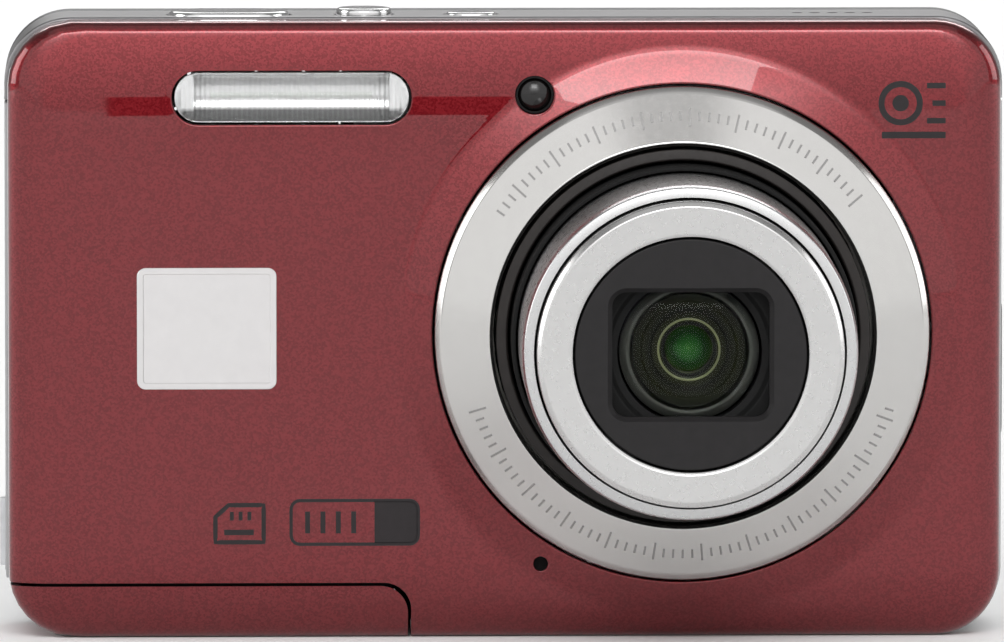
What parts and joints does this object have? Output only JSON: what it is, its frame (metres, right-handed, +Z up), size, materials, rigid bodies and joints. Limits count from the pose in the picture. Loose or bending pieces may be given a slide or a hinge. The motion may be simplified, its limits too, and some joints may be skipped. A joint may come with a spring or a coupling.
{
  "type": "compact digital camera",
  "caption": "Pocket camera with a retracting zoom lens, sliding lens barrier, sprung buttons, built-in flash, rear screen and a hinged battery door.",
  "frame": {"origin": "on the flat base, half way along the body and half way through it, in the middle of the flat bottom wall", "axes": "+Z up, +X to the right as seen from the front, -Y the way the lens looks, so +Y points out of the rear screen"},
  "size_m": [0.0918, 0.0416, 0.0571],
  "materials": {
    "red_cover": "satin metallic red lacquer",
    "grey_top": "satin grey",
    "grey_frame": "satin silver grey",
    "black_shell": "fine matt texture",
    "silver_ring": "satin, turned",
    "barrel_silver": "satin, turned",
    "charcoal": "matt",
    "button_chrome": "polished",
    "rear_keys": "satin",
    "optical_glass": "coated, polished",
    "flash_clear": "clear ribbed plastic",
    "screen_black": "polished",
    "flash_mirror": "polished",
    "lamp_black": "polished",
    "circuit_board": "solder mask",
    "steel": "plain",
    "battery_wrap": "printed film, left blank",
    "card_shell": "satin",
    "gear_plastic": "moulded",
    "port_rubber": "matt"
  },
  "bodies": {
    "body": {"front_cover": "red_cover", "top_cover": "grey_top", "middle_frame": "grey_frame", "rear_cover": "black_shell", "strap_lug": "steel", "tripod_socket": "steel", "dress_ring": "silver_ring", "light_shield_ring": "charcoal", "fixed_barrel": "black_shell", "flash_window": "flash_clear", "focus_lamp": "lamp_black", "screen_window": "screen_black", "lens_base": "black_shell", "image_sensor": "screen_black", "sensor_board": "circuit_board", "zoom_motor": "steel", "flash_reflector": "flash_mirror", "flash_tube": "optical_glass", "flash_capacitor": "black_shell", "microphone": "steel", "speaker": "black_shell", "screen_module": "steel", "main_board": "circuit_board", "top_board": "circuit_board", "battery": "battery_wrap", "battery_box": "black_shell", "memory_card": "card_shell", "card_socket": "steel", "usb_socket": "steel"},
    "door_slider": {"door_hinge": "steel"},
    "battery_door": {"battery_door": "red_cover"},
    "port_cover": {"port_cover": "port_rubber"},
    "shutter_button": {"shutter_button": "button_chrome"},
    "power_button": {"power_button": "button_chrome"},
    "mode_button": {"mode_button": "button_chrome"},
    "record_button": {"record_button": "rear_keys"},
    "menu_button": {"menu_button": "rear_keys"},
    "playback_button": {"playback_button": "rear_keys"},
    "delete_button": {"delete_button": "rear_keys"},
    "info_button": {"info_button": "rear_keys"},
    "set_button": {"set_button": "rear_keys"},
    "zoom_rocker": {"zoom_rocker": "rear_keys"},
    "pad_plate": {"pad_plate": "steel"},
    "navigation_pad": {"navigation_pad": "rear_keys"},
    "drive_ring": {"drive_ring": "gear_plastic"},
    "zoom_pinion": {"zoom_pinion": "gear_plastic"},
    "guide_barrel": {"guide_barrel": "charcoal"},
    "outer_barrel": {"outer_barrel": "barrel_silver"},
    "inner_barrel": {"inner_barrel": "barrel_silver", "front_mask": "charcoal", "front_lens_cell": "black_shell", "front_lens": "optical_glass"},
    "zoom_group": {"zoom_lens_cell": "black_shell", "zoom_lens": "optical_glass", "shutter_unit": "charcoal"},
    "focus_lens": {"focus_lens": "optical_glass"},
    "barrier_blade_upper_inner": {"barrier_blade_upper_inner": "charcoal"},
    "barrier_blade_upper_outer": {"barrier_blade_upper_outer": "charcoal"},
    "barrier_blade_lower_inner": {"barrier_blade_lower_inner": "charcoal"},
    "barrier_blade_lower_outer": {"barrier_blade_lower_outer": "charcoal"}
  },
  "joints": [
    {"name": "barrel_slide", "type": "slide", "parent": "body", "child": "outer_barrel", "axis": [0, -1, 0], "range_m": [-0.0167, 0]},
    {"name": "zoom_slide", "type": "slide", "parent": "outer_barrel", "child": "inner_barrel", "axis": [0, -1, 0], "range_m": [-0.0015, 0.007]},
    {"name": "guide_slide", "type": "slide", "parent": "body", "child": "guide_barrel", "axis": [0, -1, 0], "range_m": [-0.0053, 0]},
    {"name": "zoom_group_slide", "type": "slide", "parent": "body", "child": "zoom_group", "axis": [0, -1, 0], "range_m": [-0.01036, 0]},
    {"name": "focus_slide", "type": "slide", "parent": "body", "child": "focus_lens", "axis": [0, -1, 0], "range_m": [0, 0.0015]},
    {"name": "drive_ring_turn", "type": "hinge", "parent": "body", "child": "drive_ring", "pos_m": [0.0161, -0.0052, 0.028], "axis": [0, -1, 0], "range_deg": [-60, 0]},
    {"name": "pinion_turn", "type": "hinge", "parent": "body", "child": "zoom_pinion", "pos_m": [0.03152, -0.0052, 0.01088], "axis": [0, -1, 0], "range_deg": [0, 300]},
    {"name": "upper_inner_blade_slide", "type": "slide", "parent": "inner_barrel", "child": "barrier_blade_upper_inner", "axis": [0, 0, -1], "range_m": [0, 0.00562]},
    {"name": "upper_outer_blade_slide", "type": "slide", "parent": "inner_barrel", "child": "barrier_blade_upper_outer", "axis": [0, 0, -1], "range_m": [0, 0.00292]},
    {"name": "lower_inner_blade_slide", "type": "slide", "parent": "inner_barrel", "child": "barrier_blade_lower_inner", "axis": [0, 0, 1], "range_m": [0, 0.00562]},
    {"name": "lower_outer_blade_slide", "type": "slide", "parent": "inner_barrel", "child": "barrier_blade_lower_outer", "axis": [0, 0, 1], "range_m": [0, 0.00292]},
    {"name": "door_slide", "type": "slide", "parent": "body", "child": "door_slider", "axis": [-1, 0, 0], "range_m": [0, 0.0025]},
    {"name": "door_turn", "type": "hinge", "parent": "door_slider", "child": "battery_door", "pos_m": [-0.0395, 0.0044, 0.00065], "axis": [1, 0, 0], "range_deg": [0, 95]},
    {"name": "port_cover_turn", "type": "hinge", "parent": "body", "child": "port_cover", "pos_m": [0.0457, 0.00295, 0.024], "axis": [0, 0, 1], "range_deg": [0, 100]},
    {"name": "shutter_button_press", "type": "slide", "parent": "body", "child": "shutter_button", "axis": [0, 0, -1], "range_m": [0, 0.0008], "stiffness_N_per_m": 1500},
    {"name": "power_button_press", "type": "slide", "parent": "body", "child": "power_button", "axis": [0, 0, -1], "range_m": [0, 0.0005], "stiffness_N_per_m": 1500},
    {"name": "mode_button_press", "type": "slide", "parent": "body", "child": "mode_button", "axis": [0, 0, -1], "range_m": [0, 0.0005], "stiffness_N_per_m": 1500},
    {"name": "record_button_press", "type": "slide", "parent": "body", "child": "record_button", "axis": [0, -1, 0], "range_m": [0, 0.0004], "stiffness_N_per_m": 1500},
    {"name": "menu_button_press", "type": "slide", "parent": "body", "child": "menu_button", "axis": [0, -1, 0], "range_m": [0, 0.0004], "stiffness_N_per_m": 1500},
    {"name": "playback_button_press", "type": "slide", "parent": "body", "child": "playback_button", "axis": [0, -1, 0], "range_m": [0, 0.0004], "stiffness_N_per_m": 1500},
    {"name": "delete_button_press", "type": "slide", "parent": "body", "child": "delete_button", "axis": [0, -1, 0], "range_m": [0, 0.0004], "stiffness_N_per_m": 1500},
    {"name": "info_button_press", "type": "slide", "parent": "body", "child": "info_button", "axis": [0, -1, 0], "range_m": [0, 0.0004], "stiffness_N_per_m": 1500},
    {"name": "set_button_press", "type": "slide", "parent": "body", "child": "set_button", "axis": [0, -1, 0], "range_m": [0, 0.0004], "stiffness_N_per_m": 1500},
    {"name": "zoom_rocker_turn", "type": "hinge", "parent": "body", "child": "zoom_rocker", "pos_m": [-0.0352, 0.0082, 0.0496], "axis": [0, 0, 1], "range_deg": [-5, 5], "stiffness_Nm_per_rad": 0.1},
    {"name": "pad_tilt_up_down", "type": "hinge", "parent": "body", "child": "pad_plate", "pos_m": [-0.03, 0.0087, 0.025], "axis": [1, 0, 0], "range_deg": [-2.5, 2.5], "stiffness_Nm_per_rad": 0.15},
    {"name": "pad_tilt_left_right", "type": "hinge", "parent": "pad_plate", "child": "navigation_pad", "pos_m": [-0.03, 0.0087, 0.025], "axis": [0, 0, 1], "range_deg": [-2.5, 2.5], "stiffness_Nm_per_rad": 0.15}
  ],
  "couplings": [
    {"joint": "guide_slide", "follows": "barrel_slide", "ratio": 0.31736},
    {"joint": "zoom_group_slide", "follows": "barrel_slide", "ratio": 0.62},
    {"joint": "drive_ring_turn", "follows": "barrel_slide", "rad_per_m": 62.677},
    {"joint": "pinion_turn", "follows": "barrel_slide", "rad_per_m": -313.38},
    {"joint": "upper_inner_blade_slide", "follows": "barrel_slide", "ratio": -0.33533},
    {"joint": "upper_outer_blade_slide", "follows": "barrel_slide", "ratio": -0.17365},
    {"joint": "lower_inner_blade_slide", "follows": "barrel_slide", "ratio": -0.33533},
    {"joint": "lower_outer_blade_slide", "follows": "barrel_slide", "ratio": -0.17365}
  ]
}
